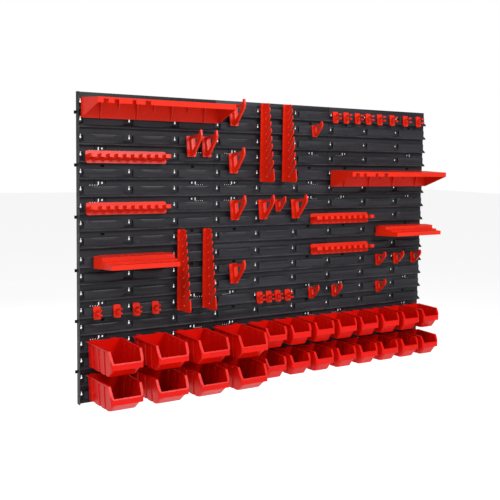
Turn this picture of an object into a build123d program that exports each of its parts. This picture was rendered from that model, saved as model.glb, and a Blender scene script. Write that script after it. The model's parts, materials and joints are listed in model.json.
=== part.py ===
from build123d import *
import math
import os

# A tool wall: six slatted panels, the holders that hang on their slats, and two rows of open bins.
# Millimetres. +X right, +Y into the room wall, +Z up, so the front faces -Y.
# The origin is the centre of the four outer wall screws, on the back plane of the panels.

# ---- Panels: every length below is for one panel ----
panel_width = 384.0
panel_height = 390.0
panel_columns = 3
panel_gap = 1.0  # the open seam between neighbours
row_gap = 0.15  # the seam between the two rows
slats = 9
slat_pitch = 42.816
sheet_back = 1.8  # the sheet stands this far off the room wall
sheet_front = 4.0
nose_depth = 12.6  # how far the lip of a slat stands out from the sheet
flange = 2.0  # thickness of the return along the left edge
relief_depth = 1.0  # an inner return is kept low, so that holders can cross it
rib_columns = (126.0, 254.0, 370.0)  # ribs down the back

# ---- Strips: the raised bars that holders hook over ----
strip_starts = (15.5, 146.5, 274.5)
strip_length = 106.0
strip_curve = ((0, 5.9), (5, 6.9), (14, 8.0), (28, 9.0), (46, 10.0))  # from an end, depth of the front

# ---- Holes in a panel ----
keyhole_columns = (10.0, 137.9, 265.8)
keyhole_drop = 24.0
keyhole_round = 2.8
keyhole_neck = 1.35
keyhole_height = 7.4
screw_columns = (66.0, 318.0)
screw_drop = 8.4
screw_radius = 2.75
screw_slats = (3, 5, 6)
pocket_slats = (1, 4, 8)
pocket_width = 10.0
pocket_height = 6.4
tab_drops = (50.0, 178.4, 306.8)  # joining tabs, from the top of the panel
tab_length = 5.5
tab_height = 8.0

# ---- How holders hang ----
hook_line = 14.0  # from the top of the slat to the top edge of a holder's back plate
lean = 9.1  # degrees: a short plate rests on the strip and on the lip, so it leans
lean_depth = 8.5  # the back of a leaning plate at its top, out from the sheet
stand_depth = 13.1  # the back of an upright plate, clear of the lips
plate = 3.0  # plate thickness

# ---- Shelves ----
shelf_width = 383.0
shelf_depth = 98.0
shelf_height = 49.0
shelf_inset = 4.4  # each end, back to front
shelf_fall = 2.0
shelf_lip = 13.5
rib_reach = 15.0  # the ribs under a shelf, out from its plate
shelf_places = ((-377.8, 0), (387.9, 4))  # centre, slat of the upper panels
window_height = 9.6  # they are open at the bottom of the lip
window_spans = ((18.5, 31.0), (45.5, 57.5), (91.0, 101.0), (125.0, 139.0))  # from the left end

# ---- Comb rails ----
rail_width = 216.0
rail_height = 31.0
rail_depth = 34.0
comb_top = 11.0  # below the top of the plate
comb_thick = 9.5
comb_pitch = 21.6
notch_width = 11.0
notch_depth = 23.0
rail_places = ((-450.0, True, 3), (-449.0, True, 6), (234.4, True, 7), (238.2, False, 0))

# ---- Stepped holders ----
step_width = 210.0
step_inset = 14.0
step_depths = (41.0, 63.0, 87.0)
step_drops = (0.0, 10.0, 14.7)
step_height = 31.0
step_face = 11.8
step_places = ((-433.2, False, 0), (481.8, True, 8))

# ---- Slotted racks ----
rack_height = 217.0
rack_rise = 12.0  # the plate goes on above the hook line
rack_width = 21.0
rack_reach_top = 26.0
rack_reach_bottom = 57.0
rack_slots = 9
slot_neck = 3.6
slot_flare = 0.14  # how much a slot widens for each mm on its way out
slot_rise = 44.0  # degrees
web = 3.2
rack_places = ((-43.1, 0), (31.5, 0), (-296.5, 8), (-220.5, 8))  # centre, slat of the upper panels

# ---- Hooks: centre, True for the upper panels, slat ----
large_hook_places = (
    (-269.7, True, 2),
    (-223.8, True, 2),
    (-140.7, True, 0),
    (-140.1, True, 3),
    (-134.4, True, 6),
    (-42.0, True, 6),
    (69.2, True, 6),
    (-133.4, False, 1),
)
small_hook_places = (
    (10.4, True, 6),
    (132.9, True, 1),
    (388.9, False, 1),
    (463.6, False, 1),
    (536.4, False, 1),
    (134.2, False, 3),
    (219.5, False, 3),
    (392.7, False, 3),
)

# ---- Clips ----
clip_width = 19.0
clip_height = 33.0
jaw_width = 9.0
jaw_radius = 5.5
jaw_wall = 2.2
jaw_centre = 10.5  # out from the plate
upper_clips = (208.5, 248.5, 292.0, 334.0, 379.5, 430.0, 485.5, 540.0)  # slat 0 of the upper panels
lower_clips = (-529.5, -476.1, -422.7, -369.3, -45.9, -15.1, 15.9, 50.1)  # slat 3 of the lower panels

# ---- Bins ----
bin_wall = 1.8
bin_rim = 4.4  # how far the rim stands out past the walls
bin_taper = 5.0  # each side, back to front
bin_draft = 3.6  # each side, top to bottom
groove = 2.2  # depth of the upright grooves in the side walls
groove_spans = ((0.14, 0.31), (0.50, 0.64), (0.78, 0.88))  # where they are, as shares of the floor's length
groove_top = 9.0  # they run out below the rim
rim_thick = 2.6
lip_band = 13.0
lip_stand = 3.6  # how far the lip stands out past the front wall
large_bin = dict(width=96.0, corner=129.0, reach=147.0, floor=116.0, height=66.0, lip=31.0)
small_bin = dict(width=77.0, corner=87.0, reach=100.0, floor=79.0, height=59.0, lip=23.0)
large_bin_x = (-510.0, -386.0, -267.5, -149.5)
small_bin_first = -46.5
small_bin_step = 83.2
small_bins = 8
bin_slats = (5, 7)

screw_z_high = panel_height - 3 * slat_pitch - screw_drop
screw_z_low = -5 * slat_pitch - screw_drop
seam_z = -(screw_z_high + screw_z_low) / 2  # height of the seam between the panel rows
wall_left = -panel_columns * panel_width / 2

os.makedirs("parts", exist_ok=True)


def save(part, name):
    """Labels a finished piece and writes its STEP file."""
    part.label = name
    export_step(part, "parts/" + name + ".step")


def hook_height(upper, slat):
    """Height of the top edge of a holder on a slat, counted from 0 at the top of its panel."""
    top = panel_height if upper else 0.0
    return seam_z + top - slat * slat_pitch - hook_line


def leaning(x, upper, slat):
    """Where a leaning holder hangs."""
    return Location((x, -sheet_front - lean_depth, hook_height(upper, slat)), (-lean, 0, 0))


def upright(x, upper, slat):
    """Where an upright holder hangs."""
    return Location((x, -sheet_front - stand_depth, hook_height(upper, slat)))


# Each holder is drawn with the back of its plate on Y = 0 and the top edge of the plate at Z = 0.


def side_and_plan(side, plans):
    """The solid with this side view, as (Y, Z), inside these plan outlines, as (X, Y)."""
    with BuildPart() as solid:
        with BuildSketch(Plane.YZ):
            with BuildLine():
                Polyline(*side, close=True)
            make_face()
        extrude(amount=300, both=True)
        with BuildSketch(Plane.XY.offset(-300)):
            for plan in plans:
                with BuildLine():
                    Polyline(*plan, close=True)
                make_face()
        extrude(amount=600, mode=Mode.INTERSECT)
    return solid.part


def hanger(width, centres, leans):
    """The tabs on a plate's back that go over a strip and down its slot."""
    reach = 7.4 if leans else 11.5
    thick = 2.0 if leans else 2.6
    under = -0.8 if leans else -1.0
    drop = 8.6 if leans else 10.0
    with BuildPart() as tabs:
        for centre in centres:
            with BuildSketch(Plane.YZ.offset(centre - width / 2)):
                with BuildLine():
                    Polyline(
                        (-1.0, under),
                        (reach - thick, under),
                        (reach - thick, -drop),
                        (reach - 0.6, -drop),
                        (reach, 1.4 - drop),
                        (reach, 0.3),
                        (-1.0, 0.3),
                        close=True,
                    )
                make_face()
            extrude(amount=width)
    return tabs.part


# ---------------------------------------------------------------- panels


def front_of_slat(top):
    """Points down the front of one slat, as (Y, Z): sheet, sloping band and lip."""
    steps = (
        (0, 0),
        (15, 0.6),
        (31, 1.2),
        (33.2, 3.8),
        (36, 8.4),
        (38.4, 10.9),
        (40.8, nose_depth),
        (42.0, nose_depth),
        (42.6, 11.8),
    )
    return [(-sheet_front - out, top - down) for down, out in steps]


def back_of_slat(top):
    """Points up the back of one slat: the hollow behind the sloping band."""
    steps = ((40.4, sheet_back), (40.4, 13.2), (38.0, 11.6), (35.2, 8.6), (31.8, 3.6), (30.8, sheet_back))
    return [(-out, top - down) for down, out in steps]


def strip_side(top):
    """Side view of one strip: a bar standing off the sheet, so that a slot is left behind it."""
    steps = (
        (26.5, -0.6),
        (26.5, 5.4),
        (16.4, 5.4),
        (15.5, 5.9),
        (15.4, 7.2),
        (16.2, 8.1),
        (19.0, 8.9),
        (23.0, 9.3),
        (27.5, 9.2),
        (30.6, 8.8),
        (33.4, 8.8),
        (36.3, 8.9),
        (36.6, 6.6),
        (31.6, -0.6),
    )
    return [(-sheet_front - out, top - down) for down, out in steps]


def relieved_return(tops):
    """Side view of an inner return: kept low between the lips, so that holders can cross it."""
    points = [(0, tops[0])]
    for top in tops:
        points += [(-sheet_front - relief_depth, top), (-sheet_front - relief_depth, top - 35.4)]
        points += [(-sheet_front - nose_depth, top - 40.8), (-sheet_front - nose_depth, top - 42.0)]
        points += [(-sheet_front - relief_depth, top - 42.7)]
    points += [(-sheet_front, row_gap / 2), (0, row_gap / 2)]
    return points


def make_panel(outer):
    """One wall panel, with its lower left back corner at the origin. An outer one ends the wall."""
    tops = [panel_height - n * slat_pitch for n in range(slats)]
    low = row_gap / 2
    high = panel_height - row_gap / 2
    edge_depth = sheet_front + nose_depth
    outline = [point for top in tops for point in front_of_slat(top)]
    outline[0] = (-sheet_front, high)
    outline += [(-sheet_front, panel_height - slats * slat_pitch), (-sheet_front, low), (-sheet_back, low)]
    outline += [point for top in reversed(tops) for point in back_of_slat(top)]
    outline += [(-sheet_back, high)]
    with BuildPart() as strips:
        for start in strip_starts:
            with BuildSketch(Plane.YZ.offset(start)):
                for top in tops:
                    with BuildLine():
                        Polyline(*strip_side(top), close=True)
                    make_face()
            extrude(amount=strip_length)
        with BuildSketch(Plane.XY):
            for start in strip_starts:
                end = start + strip_length
                bowed = [(start, -sheet_front + 1)]
                bowed += [(start + along, -sheet_front - out) for along, out in strip_curve]
                bowed += [(end - along, -sheet_front - out) for along, out in reversed(strip_curve)]
                bowed += [(end, -sheet_front + 1)]
                with BuildLine():
                    Polyline(*bowed, close=True)
                make_face()
        extrude(amount=panel_height, mode=Mode.INTERSECT)
    with BuildPart() as panel:
        with BuildSketch(Plane.YZ.offset(panel_gap / 2)):
            with BuildLine():
                Polyline(*outline, close=True)
            make_face()
        extrude(amount=panel_width - panel_gap)
        add(strips.part)
        # The return along the left edge, and the ribs down the back
        with BuildSketch(Plane.YZ.offset(panel_gap / 2)):
            with BuildLine():
                if outer:
                    Polyline((0, low), (0, high), (-edge_depth, high), (-edge_depth, low), close=True)
                else:
                    Polyline(*relieved_return([high] + tops[1:]), close=True)
            make_face()
        extrude(amount=flange)
        with BuildSketch(Plane.XY.offset(low)):
            with Locations(*[(column, 0) for column in rib_columns]):
                Rectangle(flange, sheet_back + 0.5, align=(Align.CENTER, Align.MAX))
        extrude(amount=high - low)
        # Joining tabs, which slip behind the neighbour on the left
        with BuildSketch(Plane.XZ):
            with Locations(*[(panel_gap / 2 + flange, panel_height - drop) for drop in tab_drops]):
                Rectangle(tab_length + flange, tab_height, align=(Align.MAX, Align.CENTER))
        extrude(amount=1.4)
        # Bosses behind the screw holes reach back to the room wall
        with BuildSketch(Plane.XZ):
            with Locations(*[(x, tops[slat] - screw_drop) for x in screw_columns for slat in screw_slats]):
                Circle(screw_radius + 2.5)
        extrude(amount=sheet_back + 0.5)
        # Pockets: a backing pad, then the recess
        pockets = [(x, tops[slat] - screw_drop) for x in screw_columns for slat in pocket_slats]
        with BuildSketch(Plane.XZ):
            with Locations(*pockets):
                Rectangle(pocket_width + 4, pocket_height + 4)
        extrude(amount=sheet_back + 0.5)
        with BuildSketch(Plane.XZ.offset(0.8)):
            with Locations(*pockets):
                RectangleRounded(pocket_width, pocket_height, 1)
        extrude(amount=sheet_front + 1, mode=Mode.SUBTRACT)
        # Keyholes, screw holes, slots and rows of small holes, right through
        with BuildSketch(Plane.XZ):
            with Locations(*[(x, top - keyhole_drop) for x in keyhole_columns for top in tops]):
                Circle(keyhole_round)
                Rectangle(2 * keyhole_neck, keyhole_height, align=(Align.CENTER, Align.MIN))
            for x, side in zip(screw_columns, (-1, 1)):
                for slat in screw_slats:
                    level = tops[slat] - screw_drop
                    with Locations((x, level)):
                        Circle(screw_radius)
                    with Locations((x + side * 9.8, level - 0.6)):
                        SlotOverall(8.4, 3.6, rotation=90)
                    with Locations(*[(x + side * (12.8 + 6.4 * n), level - 5.4) for n in range(4)]):
                        Circle(1.4)
        extrude(amount=sheet_front + 2, mode=Mode.SUBTRACT)
        # Blind grooves on both sides of each group of holes
        with BuildSketch(Plane.XZ.offset(sheet_front - 1.5)):
            for x, side in zip(screw_columns, (-1, 1)):
                for slat in screw_slats:
                    level = tops[slat] - screw_drop
                    with Locations((x + side * 20.5, level + 1), (x - side * 8.0, level + 1)):
                        Rectangle(2.2, 9.0)
        extrude(amount=3, mode=Mode.SUBTRACT)
    return panel.part


# ---------------------------------------------------------------- shelves, rails and stepped holders


def make_shelf():
    half = shelf_width / 2
    front = half - shelf_inset
    whole = [(-half, 0), (half, 0), (front, -shelf_depth), (-front, -shelf_depth)]
    left_end = [(-half, 0), (-half + plate, 0), (-front + plate, -shelf_depth), (-front, -shelf_depth)]
    right_end = [(-x, y) for x, y in left_end]
    low_front = -shelf_fall - shelf_lip
    sheet = [
        (0, 0),
        (-shelf_depth, -shelf_fall),
        (-shelf_depth, low_front),
        (-shelf_depth + plate, low_front),
        (-shelf_depth + plate, -shelf_fall - plate),
        (0, -plate),
    ]
    end = [(0, 0), (-shelf_depth, -shelf_fall), (-shelf_depth, low_front)]
    end += [(-plate, -shelf_height), (0, -shelf_height)]
    bracket_pitch = shelf_width / 8
    with BuildPart() as shelf:
        add(side_and_plan(sheet, [whole]))
        add(side_and_plan(end, [left_end, right_end]))
        with BuildSketch(Plane.XZ):
            Rectangle(shelf_width, shelf_height, align=(Align.CENTER, Align.MAX))
        extrude(amount=plate)
        for n in range(1, 8):
            long = n % 2 == 1
            drop = shelf_height if long else 26.0
            with BuildSketch(Plane.YZ.offset(-half + n * bracket_pitch - 1.2)):
                with BuildLine():
                    Polyline((-1, -1), (-rib_reach, -3), (-rib_reach + 9, -drop), (-1, -drop), close=True)
                make_face()
            extrude(amount=2.4)
        with BuildSketch(Plane.XZ.offset(shelf_depth - plate - 2)):
            for start, stop in window_spans:
                with Locations((-half + (start + stop) / 2, low_front - 1)):
                    Rectangle(stop - start, window_height + 1, align=(Align.CENTER, Align.MIN))
        extrude(amount=plate + 4, mode=Mode.SUBTRACT)
        add(hanger(24, (-160, -60, 60, 160), False))
    return shelf.part


def make_rail():
    notches = round(rail_width / comb_pitch) - 1
    with BuildPart() as rail:
        with BuildSketch(Plane.XZ):
            RectangleRounded(rail_width, rail_height, 5, align=(Align.CENTER, Align.MAX))
        extrude(amount=plate)
        with BuildSketch(Plane.XY.offset(-comb_top)) as comb:
            with Locations((0, -plate + 1)):
                Rectangle(rail_width, rail_depth + 1, align=(Align.CENTER, Align.MAX))
            fillet(comb.vertices().sort_by(Axis.Y)[:2], 4)
            with GridLocations(comb_pitch, 0, notches, 1):
                with Locations((0, -plate - rail_depth + (notch_depth - 5) / 2 - 0.5)):
                    Rectangle(notch_width, notch_depth - 5, mode=Mode.SUBTRACT)
                with Locations((0, -plate - rail_depth + notch_depth - notch_width / 2)):
                    Circle(notch_width / 2, mode=Mode.SUBTRACT)
        extrude(amount=-comb_thick)
        with BuildSketch(Plane.XY.offset(-comb_top - 2.4)):
            add(comb.sketch)
            offset(amount=-1.9, kind=Kind.INTERSECTION)
        extrude(amount=-comb_thick, mode=Mode.SUBTRACT)
        # Put back the strip of plate that the hollow reached into
        with BuildSketch(Plane.XZ):
            with Locations((0, -comb_top)):
                Rectangle(rail_width, comb_thick + 6, align=(Align.CENTER, Align.MAX))
        extrude(amount=plate)
        add(hanger(20, (-90, -30, 30, 90), True))
    return rail.part


def stair(inset):
    """Side view of the stepped holder's steps, pulled in by a wall thickness."""
    points = [(-inset, -inset)]
    for depth, drop, low in zip(step_depths, step_drops, step_drops[1:] + (0,)):
        points += [(-depth + inset, -drop - inset), (-depth + inset, -low - inset)]
    points[-1] = (-step_depths[-1] + inset, -step_drops[-1] - step_face - (5 if inset else 0))
    points += [(-plate if inset == 0 else -inset, -step_height - (5 if inset else 0))]
    return points


def make_stepped():
    half = step_width / 2
    front = half - step_inset
    depth = step_depths[-1]
    wall = 2.4
    outside = [(-half, 0), (half, 0), (front, -depth), (-front, -depth)]
    inside = [(-half + wall, -wall), (half - wall, -wall)]
    inside += [(front - wall, -depth + wall), (-front + wall, -depth + wall)]
    with BuildPart() as holder:
        add(side_and_plan(stair(0) + [(0, -step_height)], [outside]))
        add(side_and_plan(stair(wall), [inside]), mode=Mode.SUBTRACT)
        with BuildSketch(Plane.XY.offset(-step_height)):
            with GridLocations(19, 0, 9, 1):
                with Locations((0, -22)):
                    Circle(4.5)
                with Locations((0, -52)):
                    Circle(3.5)
                with Locations((0, -75)):
                    Circle(2.6)
        extrude(amount=step_height + 1, mode=Mode.SUBTRACT)
        add(hanger(176, (0,), False))
    return holder.part


# ---------------------------------------------------------------- racks, hooks and clips


def slot_sides(x, y, far):
    """Corners of a slot that rises from a seat at this point and widens on its way out."""
    out = (-math.cos(math.radians(slot_rise)), math.sin(math.radians(slot_rise)))
    corners = ((0, 1), (far, 1), (far, -1), (0, -1))
    points = []
    for along, side in corners:
        apart = side * (slot_neck + slot_flare * along) / 2
        points.append((x + along * out[0] + apart * out[1], y + along * out[1] - apart * out[0]))
    return points


def make_rack():
    high = rack_rise
    low = rack_rise - rack_height
    front_top = -plate - rack_reach_top
    front_low = -plate - rack_reach_bottom
    with BuildPart() as rack:
        with BuildSketch(Plane.XZ):
            with Locations((0, high)):
                RectangleRounded(rack_width, rack_height, 2, align=(Align.CENTER, Align.MAX))
        extrude(amount=plate)
        with BuildSketch(Plane.YZ.offset(-web / 2)) as side:
            with BuildLine():
                Polyline(
                    (-1, high),
                    (front_top + 4, high),
                    (front_top, high - 4),
                    (front_low, low + 9),
                    (front_low + 2.5, low + 3),
                    (front_low + 8, low),
                    (-1, low),
                    close=True,
                )
            make_face()
            for n in range(rack_slots):
                seat = high - (27 + 18.6 * n + 0.45 * n * n)
                depth = plate + 6 + 12.5 * n / (rack_slots - 1)
                wide = 2.4 + 0.15 * n
                with Locations((-depth - wide, seat + wide)):
                    Circle(wide, mode=Mode.SUBTRACT)
                with BuildLine():
                    Polyline(*slot_sides(-depth - wide, seat + wide, 70), close=True)
                make_face(mode=Mode.SUBTRACT)
            lean_in = (front_low - front_top) / (rack_height - 13)
            mouths = side.vertices().filter_by(
                lambda point: abs(point.X - front_top - lean_in * (high - 4 - point.Y)) < 0.01
            )
            fillet(mouths.sort_by(Axis.Y)[1:-1], 1.6)
        extrude(amount=web)
        fillet(rack.edges().filter_by(Axis.X).group_by(Axis.Y)[0], 1)
        add(hanger(14, (0,), False))
    return rack.part


def make_hook(wide, tall, rib, outline, opening):
    """A hook: a plate with one rib, whose outline and opening are given as (out from the plate, height)."""
    with BuildPart() as hook:
        with BuildSketch(Plane.XZ):
            RectangleRounded(wide, tall, 3, align=(Align.CENTER, Align.MAX))
        extrude(amount=plate)
        with BuildSketch(Plane.YZ.offset(-rib / 2)):
            with BuildLine():
                Polyline(*[(-plate - out, height) for out, height in outline], close=True)
            make_face()
            with BuildLine():
                Polyline(*[(-plate - out, height) for out, height in opening], close=True)
            make_face(mode=Mode.SUBTRACT)
        extrude(amount=rib)
        tip = hook.edges().filter_by(Axis.X).filter_by(lambda edge: edge.center().Y < -plate - 20)
        fillet(tip.filter_by(lambda edge: edge.center().Z > -12), 1.5)
        add(hanger(wide - 5, (0,), True))
    return hook.part


def make_clip():
    """A clip: a plate with two sprung jaws, one above the other, that open to the front."""
    centre = (-plate - jaw_centre, -17.0)
    outer = jaw_radius + jaw_wall
    lips = ((3.6, 6.4), (4.1, 3.7), (10.4, 4.6), (10.9, 3.4), (13.4, 7.0), (9.4, 8.8), (9.6, 7.2))
    with BuildPart() as clip:
        with BuildSketch(Plane.XZ):
            RectangleRounded(clip_width, clip_height, 3, align=(Align.CENTER, Align.MAX))
        extrude(amount=plate)
        with BuildSketch(Plane.YZ.offset(-jaw_width / 2)):
            with Locations((-1, centre[1])):
                Rectangle(jaw_centre, 8, align=(Align.MAX, Align.CENTER))
            with Locations(centre):
                Circle(outer)
                Circle(jaw_radius, mode=Mode.SUBTRACT)
                Rectangle(outer + 5, 7.4, align=(Align.MAX, Align.CENTER), mode=Mode.SUBTRACT)
            for side in (-1, 1):
                with BuildLine():
                    Polyline(*[(centre[0] - out, centre[1] + side * up) for out, up in lips], close=True)
                make_face()
        extrude(amount=jaw_width)
        add(hanger(clip_width - 5, (0,), True))
    return clip.part


# ---------------------------------------------------------------- bins


def bin_plan(half, depth, size, inset):
    """Plan of a bin at one height: tapering sides and rounded front corners."""
    wide = half - inset
    tip = wide - bin_taper * depth / size["reach"]
    round_off = 8 - inset
    right = [(wide, 1 - inset)]
    for n in range(5):
        angle = math.radians(22.5 * n)
        across = tip - round_off * (1 - math.cos(angle))
        right.append((across, inset - depth + round_off * (1 - math.sin(angle))))
    return right + [(-x, y) for x, y in reversed(right)]


def bin_block(size, inset):
    """The bin as a full block, or, with an inset, the space inside it."""
    half = size["width"] / 2 - bin_rim
    reach, floor, height, lip = size["reach"], size["floor"], size["height"], size["lip"]
    draft = bin_draft / height
    front = reach - lip_stand
    slope = (front - floor) / (height - lip - lip_band)
    with BuildPart() as tub:
        for level in (-height - 1, 8):
            with BuildSketch(Plane.XY.offset(level)):
                with BuildLine():
                    depth = floor + slope * (height + level)
                    Polyline(*bin_plan(half + draft * level, depth, size, inset), close=True)
                make_face()
        loft(ruled=True)
    side = [
        (-inset, 7 if inset else 0),
        (-size["corner"] - inset, 7 if inset else 0),
        (-reach + inset, 6 - lip if inset else -lip),
        (-reach + inset, 1 - lip - lip_band),
        (-front + inset, -1 - lip - lip_band),
        (-floor + inset * 0.5, inset - height),
        (-inset, inset - height),
    ]
    with BuildPart() as block:
        add(tub.part)
        add(side_and_plan(side, [bin_plan(half + 2.4, reach, size, inset)]), mode=Mode.INTERSECT)
    return block.part


def grooves(size, grown):
    """The upright grooves in both sides of a bin, grown by a wall thickness where they show inside."""
    half = size["width"] / 2 - bin_rim
    draft = bin_draft / size["height"]
    taper = bin_taper / size["reach"]
    levels = ((-size["height"] - 1, groove), (-groove_top, groove), (5 - groove_top, 0))
    with BuildPart() as channels:
        for start, stop in groove_spans:
            back = grown - start * size["floor"]
            front = -grown - stop * size["floor"]
            for side in (-1, 1):
                for level, sunk in levels:
                    wide = half + draft * level
                    deep = wide - sunk - grown
                    with BuildSketch(Plane.XY.offset(level)):
                        with BuildLine():
                            Polyline(
                                (side * (wide + 3), back),
                                (side * (deep + taper * back), back - 2),
                                (side * (deep + taper * front), front + 2),
                                (side * (wide + 3), front),
                                close=True,
                            )
                        make_face()
                loft(ruled=True)
    return channels.part


def make_bin(size):
    """A bin with an open top and a low front."""
    corner, reach, lip = size["corner"], size["reach"], size["lip"]
    half = size["width"] / 2
    rim_side = [
        (0, 0),
        (-corner, 0),
        (-reach, -lip),
        (-reach, -lip - lip_band),
        (-reach + lip_stand, -lip - lip_band - 1.2),
        (-reach + lip_stand + 1, -lip - 1),
        (-corner + 1.8, -rim_thick),
        (0, -rim_thick),
    ]
    with BuildPart() as cavity:
        add(bin_block(size, bin_wall))
        add(grooves(size, bin_wall), mode=Mode.SUBTRACT)
    with BuildPart() as tray:
        add(bin_block(size, 0))
        add(grooves(size, 0), mode=Mode.SUBTRACT)
        add(side_and_plan(rim_side, [bin_plan(half, reach, size, 0)]))
        add(cavity.part, mode=Mode.SUBTRACT)
        add(hanger(16, (-half * 0.55, half * 0.55), False))
    return tray.part


# ---------------------------------------------------------------- build and place everything

edge_panel = make_panel(True)
inner_panel = make_panel(False)
for row, low in (("upper", 0.0), ("lower", -panel_height)):
    for column in range(panel_columns):
        place = Location((wall_left + column * panel_width, 0, seam_z + low))
        panel = edge_panel if column == 0 else inner_panel
        save(panel.moved(place), f"panel_{row}_{column + 1}")

shelf = make_shelf()
for n, (x, slat) in enumerate(shelf_places):
    save(shelf.moved(upright(x, True, slat)), f"shelf_{n + 1}")

rail = make_rail()
for n, (x, upper, slat) in enumerate(rail_places):
    save(rail.moved(leaning(x, upper, slat)), f"comb_rail_{n + 1}")

stepped = make_stepped()
for n, (x, upper, slat) in enumerate(step_places):
    save(stepped.moved(upright(x, upper, slat)), f"stepped_holder_{n + 1}")

rack = make_rack()
for n, (x, slat) in enumerate(rack_places):
    save(rack.moved(upright(x, True, slat)), f"slot_rack_{n + 1}")

large_hook = make_hook(
    25.5,
    54.5,
    5.0,
    ((-1, -0.5), (50, -2.5), (54.5, 7.5), (60.5, 7.5), (62, -8), (57, -17), (23, -45), (5, -53), (-1, -53)),
    ((6, -7.5), (45, -9), (28, -29), (8, -40)),
)
for n, (x, upper, slat) in enumerate(large_hook_places):
    save(large_hook.moved(leaning(x, upper, slat)), f"large_hook_{n + 1}")

small_hook = make_hook(
    17.0,
    33.0,
    4.0,
    ((-1, -0.5), (31, -0.5), (34.5, 5.5), (39.5, 5.5), (41, -4), (37, -11), (15, -28), (3, -32), (-1, -32)),
    ((5, -5.5), (28, -6), (17, -18), (6, -24)),
)
for n, (x, upper, slat) in enumerate(small_hook_places):
    save(small_hook.moved(leaning(x, upper, slat)), f"small_hook_{n + 1}")

clip = make_clip()
with BuildPart() as clips_upper:
    for x in upper_clips:
        add(clip.moved(leaning(x, True, 0)))
save(clips_upper.part, "clips_upper")
with BuildPart() as clips_lower:
    for x in lower_clips:
        add(clip.moved(leaning(x, False, 3)))
save(clips_lower.part, "clips_lower")

big = make_bin(large_bin)
little = make_bin(small_bin)
for row, slat in enumerate(bin_slats):
    for n, x in enumerate(large_bin_x):
        save(big.moved(upright(x, False, slat)), f"large_bin_{row + 1}_{n + 1}")
    for n in range(small_bins):
        x = small_bin_first + n * small_bin_step
        save(little.moved(upright(x, False, slat)), f"small_bin_{row + 1}_{n + 1}")
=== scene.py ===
import json
import math

import bpy
from mathutils import Matrix, Vector


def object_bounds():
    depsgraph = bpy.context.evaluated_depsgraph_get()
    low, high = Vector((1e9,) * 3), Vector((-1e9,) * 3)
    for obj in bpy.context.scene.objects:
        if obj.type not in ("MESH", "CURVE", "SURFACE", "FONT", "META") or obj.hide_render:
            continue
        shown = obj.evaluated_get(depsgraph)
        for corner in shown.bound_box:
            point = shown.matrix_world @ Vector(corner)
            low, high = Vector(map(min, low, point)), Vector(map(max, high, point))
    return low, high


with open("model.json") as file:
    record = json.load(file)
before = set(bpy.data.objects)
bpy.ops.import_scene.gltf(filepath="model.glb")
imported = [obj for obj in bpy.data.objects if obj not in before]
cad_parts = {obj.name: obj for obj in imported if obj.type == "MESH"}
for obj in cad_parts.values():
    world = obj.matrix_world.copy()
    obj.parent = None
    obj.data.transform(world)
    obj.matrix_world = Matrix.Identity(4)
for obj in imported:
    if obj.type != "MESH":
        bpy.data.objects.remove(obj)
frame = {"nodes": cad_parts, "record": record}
cad_low, cad_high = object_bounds()
nodes = frame["nodes"]
record = frame["record"]
scene = bpy.context.scene

# ---------------------------------------------------------------- camera

# The wall is seen from the left, a little from above
yaw, pitch, roll = 0.6149, -0.1034, 0.0228  # radians
camera_place = Vector((-1.31113, -2.00087, 0.23753))
focal_length = 60.2046  # mm, on a sensor 36 mm wide
shift_across, shift_up = -0.1, -0.02016
forward = Vector((math.sin(yaw) * math.cos(pitch), math.cos(yaw) * math.cos(pitch), math.sin(pitch)))
side = Vector((math.cos(yaw), -math.sin(yaw), 0.0))
upward = side.cross(forward)
right = math.cos(roll) * side + math.sin(roll) * upward
up = math.cos(roll) * upward - math.sin(roll) * side
camera_data = bpy.data.cameras.new("camera")
camera = bpy.data.objects.new("camera", camera_data)
scene.collection.objects.link(camera)
camera.matrix_world = Matrix((
    (right.x, up.x, -forward.x, camera_place.x),
    (right.y, up.y, -forward.y, camera_place.y),
    (right.z, up.z, -forward.z, camera_place.z),
    (0, 0, 0, 1),
))
camera_data.sensor_width = 36.0
camera_data.lens = focal_length
camera_data.shift_x = shift_across
camera_data.shift_y = shift_up
camera_data.clip_start = 0.05
camera_data.clip_end = 60.0
camera_data.dof.use_dof = False
scene.camera = camera
scene.view_settings.view_transform = "Standard"

# ---------------------------------------------------------------- materials


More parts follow.
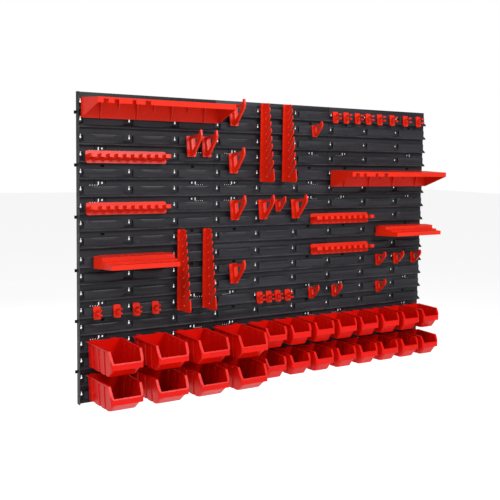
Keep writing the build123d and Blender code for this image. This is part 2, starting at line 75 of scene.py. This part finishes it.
class Nodes:
    """A material and short ways to add nodes to it."""

    def __init__(self, name):
        self.material = bpy.data.materials.new(name)
        self.material.use_nodes = True
        self.tree = self.material.node_tree
        self.shader = self.tree.nodes["Principled BSDF"]
        self.place = self.add("ShaderNodeTexCoord").outputs["Object"]
        self.normal = self.add("ShaderNodeNewGeometry").outputs["Normal"]

    def add(self, kind, **settings):
        node = self.tree.nodes.new(kind)
        for key, value in settings.items():
            setattr(node, key, value)
        return node

    def link(self, source, target):
        self.tree.links.new(source, target)

    def set(self, **values):
        for key, value in values.items():
            self.shader.inputs[key.replace("_", " ")].default_value = value

    def stretched(self, x, y, z):
        """Object coordinates scaled per axis: a small number draws the pattern out along that axis."""
        node = self.add("ShaderNodeMapping")
        node.inputs["Scale"].default_value = (x, y, z)
        self.link(self.place, node.inputs["Vector"])
        return node.outputs["Vector"]

    def noise(self, scale, detail=2.0, rough=0.5, at=None):
        """Noise in features per metre."""
        node = self.add("ShaderNodeTexNoise")
        node.inputs["Scale"].default_value = scale
        node.inputs["Detail"].default_value = detail
        node.inputs["Roughness"].default_value = rough
        self.link(at or self.place, node.inputs["Vector"])
        return node.outputs["Fac"]

    def remap(self, value, low, high, to_low, to_high):
        """Moves the range low..high to to_low..to_high, and clamps it there."""
        node = self.add("ShaderNodeMapRange")
        for key, number in zip(("From Min", "From Max", "To Min", "To Max"), (low, high, to_low, to_high)):
            node.inputs[key].default_value = number
        self.link(value, node.inputs["Value"])
        return node.outputs["Result"]

    def math(self, operation, a, b):
        node = self.add("ShaderNodeMath", operation=operation)
        for index, value in enumerate((a, b)):
            if isinstance(value, (int, float)):
                node.inputs[index].default_value = value
            else:
                self.link(value, node.inputs[index])
        return node.outputs[0]

    def mix(self, factor, a, b):
        node = self.add("ShaderNodeMix", data_type="RGBA")
        self.link(factor, node.inputs[0])
        for index, value in ((6, a), (7, b)):
            if isinstance(value, tuple):
                node.inputs[index].default_value = (*value, 1.0)
            else:
                self.link(value, node.inputs[index])
        return node.outputs[2]

    def axis(self, vector, name):
        node = self.add("ShaderNodeSeparateXYZ")
        self.link(vector, node.inputs[0])
        return node.outputs[name]

    def bump(self, heights):
        """heights: (value, strength, distance), laid over each other."""
        last = None
        for value, strength, distance in heights:
            node = self.add("ShaderNodeBump")
            node.inputs["Strength"].default_value = strength
            node.inputs["Distance"].default_value = distance
            self.link(value, node.inputs["Height"])
            if last:
                self.link(last, node.inputs["Normal"])
            last = node.outputs["Normal"]
        self.link(last, self.shader.inputs["Normal"])


# Places across the panels' thickness, as Y in metres
# Painted shade in the recesses grows from the first of these places to the second
recess_shade_start = -0.0036  # just behind the front of the sheet
recess_shade_full = -0.0026
rub_start = -0.0152  # on the slats' lips, which reach -0.0166
rub_full = -0.0163


def panel_plastic():
    """Dark moulded plastic: fine grain, drawn-out sheen, dust on what faces up, and rubbed lips."""
    m = Nodes("panel_black")
    streaks = m.noise(9.0, 4.0, 0.6, m.stretched(0.35, 1, 7.0))
    tone = m.remap(streaks, 0.34, 0.66, 0.0, 1.0)
    colour = m.mix(tone, (0.0075, 0.0077, 0.0105), (0.0205, 0.0205, 0.0255))
    dusty = m.remap(m.axis(m.normal, "Z"), 0.35, 0.95, 0.0, 0.45)
    dusty = m.math("MULTIPLY", dusty, m.remap(m.noise(55.0, 5.0, 0.65), 0.42, 0.72, 0.0, 1.0))
    colour = m.mix(dusty, colour, (0.060, 0.058, 0.058))
    rub = m.remap(m.axis(m.place, "Y"), rub_start, rub_full, 0.0, 1.0)
    worn = m.noise(60.0, 4.0, 0.6, m.stretched(0.25, 1, 2.5))
    rub = m.math("MULTIPLY", rub, m.remap(worn, 0.45, 0.65, 0.0, 1.0))
    colour = m.mix(rub, colour, (0.040, 0.040, 0.043))
    # Painted shade darkens the recesses and holes below the face of the sheet, but not its back
    painted_recess_shade = m.remap(m.axis(m.place, "Y"), recess_shade_start, recess_shade_full, 0.0, 0.9)
    painted_recess_shade = m.math("MULTIPLY", painted_recess_shade, m.remap(m.axis(m.normal, "Y"), 0.3, -0.3, 0.0, 1.0))
    colour = m.mix(painted_recess_shade, colour, (0.002, 0.002, 0.002))
    m.link(colour, m.shader.inputs["Base Color"])
    rough = m.remap(m.noise(38.0, 3.0, 0.5, m.stretched(0.3, 1, 3.0)), 0.3, 0.7, 0.36, 0.52)
    rough = m.math("SUBTRACT", rough, m.math("MULTIPLY", rub, 0.10))
    m.link(m.math("ADD", rough, m.math("MULTIPLY", painted_recess_shade, 0.5)), m.shader.inputs["Roughness"])
    grain = m.noise(1500.0, 2.0)
    flow = m.noise(20.0, 3.0, 0.5, m.stretched(0.35, 1, 3.0))
    m.bump(((flow, 0.20, 0.0010), (grain, 0.20, 0.00008)))
    m.set(IOR=1.42, Specular_IOR_Level=0.27)
    return m.material


def red_plastic(name, low, high, shine):
    """Glossy moulded plastic drifting between two colours, with flow marks, orange peel and fine scuffs."""
    m = Nodes(name)
    drift = m.remap(m.noise(7.0, 3.0, 0.55), 0.34, 0.66, 0.0, 1.0)
    colour = m.mix(drift, low, high)
    scuff = m.remap(m.noise(260.0, 5.0, 0.65, m.stretched(1, 0.25, 1)), 0.66, 0.80, 0.0, 0.22)
    colour = m.mix(scuff, colour, (0.70, 0.060, 0.030))
    m.link(colour, m.shader.inputs["Base Color"])
    rough = m.remap(m.noise(45.0, 4.0, 0.6), 0.3, 0.7, 0.26, 0.36)
    m.link(m.math("ADD", rough, m.math("MULTIPLY", scuff, 0.5)), m.shader.inputs["Roughness"])
    peel = m.noise(420.0, 1.0)
    flow = m.noise(24.0, 3.0, 0.5, m.stretched(0.6, 1, 1.4))
    m.bump(((flow, 0.04, 0.0008), (peel, 0.05, 0.00010)))
    m.set(IOR=1.44, Specular_IOR_Level=shine, Coat_Weight=0.03, Coat_Roughness=0.15)
    return m.material


panel_black = panel_plastic()
holder_red = red_plastic("holder_red", (0.53, 0.0120, 0.0022), (0.61, 0.0160, 0.0034), 0.24)
bin_red = red_plastic("bin_red", (0.50, 0.0028, 0.0008), (0.57, 0.0044, 0.0014), 0.14)
finishes = {"panel_black": panel_black, "holder_red": holder_red, "bin_red": bin_red}


panel_edge = 0.00035  # edge rounding in metres
red_edge = 0.0005


def round_edges(obj, width, segments):
    """Softens a CAD node's edges without changing its mesh."""
    weld = obj.modifiers.new("weld", "WELD")
    weld.merge_threshold = 0.00002
    bevel = obj.modifiers.new("bevel", "BEVEL")
    bevel.width = width
    bevel.segments = segments
    bevel.limit_method = "ANGLE"
    bevel.angle_limit = math.radians(32)
    bevel.harden_normals = True
    bevel.use_clamp_overlap = True


for entry in record["subparts"]:
    obj = nodes[entry["node"]]
    obj.data.materials.clear()
    obj.data.materials.append(finishes[entry["material_slot"]])
    if entry["material_slot"] == "panel_black":
        round_edges(obj, panel_edge, 1)
    else:
        round_edges(obj, red_edge, 2)

# ---------------------------------------------------------------- floor and light


floor_drop = 0.55  # below the wall, which hangs free
floor_size = 40.0
floor_glow = 0.74


def plane(name, size, height):
    """A level square, centred under the object."""
    mesh = bpy.data.meshes.new(name)
    half = size / 2
    corners = ((-half, -half, height), (half, -half, height), (half, half, height), (-half, half, height))
    mesh.from_pydata(corners, [], [(0, 1, 2, 3)])
    obj = bpy.data.objects.new(name, mesh)
    scene.collection.objects.link(obj)
    return obj


floor = plane("floor", floor_size, cad_low.z - floor_drop)
floor_look = Nodes("floor_pale")
tint = floor_look.mix(floor_look.noise(1.2, 3.0), (0.43, 0.43, 0.43), (0.47, 0.47, 0.47))
floor_look.link(tint, floor_look.shader.inputs["Base Color"])
floor_look.set(Roughness=0.9, Emission_Color=(1, 1, 1, 1), Emission_Strength=floor_glow)
floor_look.bump(((floor_look.noise(90.0, 3.0), 0.05, 0.001),))
floor.data.materials.append(floor_look.material)


def lamp(name, place, aim, power, size):
    """A round white area lamp; power in watts, size in metres."""
    data = bpy.data.lights.new(name, "AREA")
    data.shape = "DISK"
    data.size = size
    data.energy = power
    obj = bpy.data.objects.new(name, data)
    scene.collection.objects.link(obj)
    obj.location = place
    obj.rotation_euler = (Vector(aim) - Vector(place)).to_track_quat("-Z", "Y").to_euler()


lamp("key", (1.0, -3.4, 2.1), (0.0, 0.0, 0.0), 128.0, 1.7)
lamp("fill", (-2.4, -3.4, 0.6), (0.0, 0.0, -0.1), 28.0, 2.4)
lamp("left", (-2.3, -1.7, 2.3), (0.0, -0.1, -0.25), 62.0, 1.0)
lamp("behind", (0.6, 3.0, 1.8), (0.0, 0.0, 0.0), 40.0, 2.5)

# The surround is white where the camera sees it, and dimmer where it lights the object
world = bpy.data.worlds.new("studio")
scene.world = world
world.use_nodes = True
tree = world.node_tree
ambient = tree.nodes["Background"]
ambient.inputs["Color"].default_value = (1, 1, 1, 1)
ambient.inputs["Strength"].default_value = 0.36
seen = tree.nodes.new("ShaderNodeBackground")
seen.inputs["Color"].default_value = (1, 1, 1, 1)
seen.inputs["Strength"].default_value = 1.0
path = tree.nodes.new("ShaderNodeLightPath")
either = tree.nodes.new("ShaderNodeMixShader")
tree.links.new(path.outputs["Is Camera Ray"], either.inputs[0])
tree.links.new(ambient.outputs[0], either.inputs[1])
tree.links.new(seen.outputs[0], either.inputs[2])
tree.links.new(either.outputs[0], tree.nodes["World Output"].inputs["Surface"])

# ---------------------------------------------------------------- update

bpy.context.view_layer.update()
